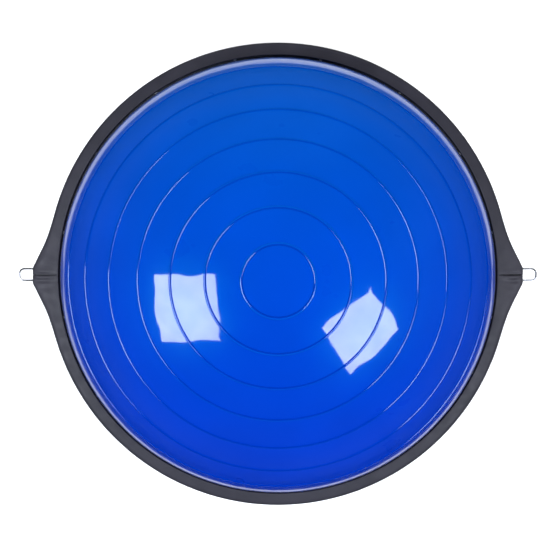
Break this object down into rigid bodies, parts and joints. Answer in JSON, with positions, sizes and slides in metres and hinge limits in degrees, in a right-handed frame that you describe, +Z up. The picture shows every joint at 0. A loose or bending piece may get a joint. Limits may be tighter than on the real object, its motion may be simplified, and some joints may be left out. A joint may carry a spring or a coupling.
{
  "type": "balance dome trainer",
  "caption": "Inflatable half-ball balance trainer: ridged vinyl dome on a flat round platform with a rubber rim, two wire band loops, finger pockets and a valve underneath.",
  "frame": {"origin": "on the floor, under the dome's axis, at the centre of the platform", "axes": "+Z up along the dome's axis; +X towards the right-hand band loop; +Y towards the rear rim strip"},
  "size_m": [0.655, 0.58, 0.25],
  "materials": {
    "dome_vinyl": "soft glossy moulded vinyl, deep blue",
    "valve_vinyl": "soft satin vinyl",
    "plug_plastic": "pale moulded plastic",
    "shell_plastic": "dark moulded plastic with a fine grain",
    "rim_rubber": "dark grey rubber, satin",
    "clamp_plastic": "black moulded plastic",
    "zinc_steel": "zinc-plated screw steel",
    "polished_wire": "polished plated steel wire",
    "pad_rubber": "matt black rubber"
  },
  "bodies": {
    "platform": {"dome_bladder": "dome_vinyl", "valve_seat": "valve_vinyl", "base_tray": "shell_plastic", "base_deck": "shell_plastic", "valve_cup": "shell_plastic", "finger_cup_right": "shell_plastic", "finger_cup_left": "shell_plastic", "rim_strip_rear": "rim_rubber", "rim_strip_front": "rim_rubber", "clamp_screws": "zinc_steel", "deck_screws": "zinc_steel", "ear_screws_right": "zinc_steel", "ear_screws_left": "zinc_steel", "clamp_segment_rear": "clamp_plastic", "clamp_segment_right": "clamp_plastic", "clamp_segment_left": "clamp_plastic", "clamp_segment_front": "clamp_plastic", "floor_pad_1": "pad_rubber", "floor_pad_2": "pad_rubber", "floor_pad_3": "pad_rubber", "floor_pad_4": "pad_rubber", "floor_pad_5": "pad_rubber", "floor_pad_6": "pad_rubber", "floor_pad_7": "pad_rubber", "floor_pad_8": "pad_rubber"},
    "valve_plug": {"valve_plug": "plug_plastic"},
    "band_loop_right": {"band_loop_right": "polished_wire"},
    "band_loop_left": {"band_loop_left": "polished_wire"}
  },
  "joints": [
    {"name": "valve_plug_pull", "type": "slide", "parent": "platform", "child": "valve_plug", "axis": [0, 0, -1], "range_m": [0, 0.018]},
    {"name": "band_loop_right_swing", "type": "hinge", "parent": "platform", "child": "band_loop_right", "pos_m": [0.296, 0, 0.024], "axis": [0, -1, 0], "range_deg": [0, 35]},
    {"name": "band_loop_left_swing", "type": "hinge", "parent": "platform", "child": "band_loop_left", "pos_m": [-0.296, 0, 0.024], "axis": [0, 1, 0], "range_deg": [0, 35]}
  ]
}
